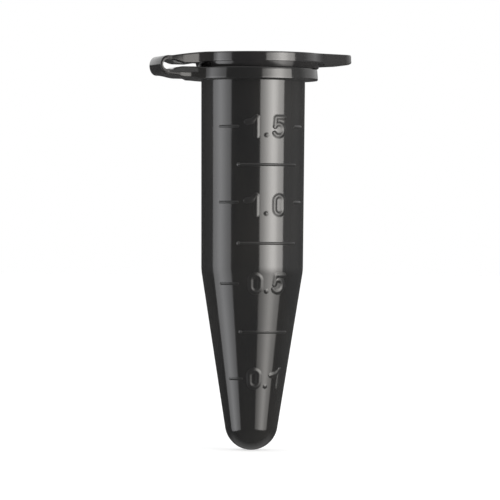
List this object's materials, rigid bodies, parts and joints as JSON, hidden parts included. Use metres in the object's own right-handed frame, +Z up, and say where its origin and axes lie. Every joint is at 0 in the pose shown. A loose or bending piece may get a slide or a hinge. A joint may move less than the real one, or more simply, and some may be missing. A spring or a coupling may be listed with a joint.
{
  "type": "microcentrifuge tube",
  "caption": "Opaque black conical sample tube with raised volume graduations and a snap lid that opens on a moulded living hinge.",
  "frame": {"origin": "outside of the conical tip, on the tube's axis", "axes": "+Z up along the tube's axis to the lid, +X towards the lid's thumb tab (the hinge is at -X), the graduated face looks to -Y"},
  "size_m": [0.0211, 0.0134, 0.0408],
  "materials": {
    "tube_plastic": "gloss",
    "lid_plastic": "gloss",
    "hinge_plastic": "satin"
  },
  "bodies": {
    "tube": {"tube_body": "tube_plastic", "rim_collar": "tube_plastic", "hinge_root": "tube_plastic"},
    "web_1": {"hinge_link_1": "hinge_plastic"},
    "web_2": {"hinge_link_2": "hinge_plastic"},
    "web_3": {"hinge_link_3": "hinge_plastic"},
    "web_4": {"hinge_link_4": "hinge_plastic"},
    "lid": {"hinge_tip": "lid_plastic", "lid_disc": "lid_plastic", "thumb_tab": "lid_plastic", "sealing_plug": "lid_plastic"}
  },
  "joints": [
    {"name": "lid_hinge", "type": "hinge", "parent": "tube", "child": "lid", "pos_m": [-0.01085, 0, 0.03949], "axis": [0, -1, 0], "range_deg": [0, 180]},
    {"name": "strap_bend_1", "type": "hinge", "parent": "tube", "child": "web_1", "pos_m": [-0.01006, 0, 0.03874], "axis": [0, -1, 0], "range_deg": [0, 45]},
    {"name": "strap_bend_2", "type": "hinge", "parent": "web_1", "child": "web_2", "pos_m": [-0.01038, 0, 0.03923], "axis": [0, -1, 0], "range_deg": [0, 45]},
    {"name": "strap_bend_3", "type": "hinge", "parent": "web_2", "child": "web_3", "pos_m": [-0.01036, 0, 0.03974], "axis": [0, -1, 0], "range_deg": [0, 45]},
    {"name": "strap_bend_4", "type": "hinge", "parent": "web_3", "child": "web_4", "pos_m": [-0.01003, 0, 0.04016], "axis": [0, -1, 0], "range_deg": [0, 45]}
  ],
  "couplings": [
    {"joint": "strap_bend_1", "follows": "lid_hinge", "ratio": 0.25},
    {"joint": "strap_bend_2", "follows": "lid_hinge", "ratio": 0.25},
    {"joint": "strap_bend_3", "follows": "lid_hinge", "ratio": 0.25},
    {"joint": "strap_bend_4", "follows": "lid_hinge", "ratio": 0.25}
  ]
}
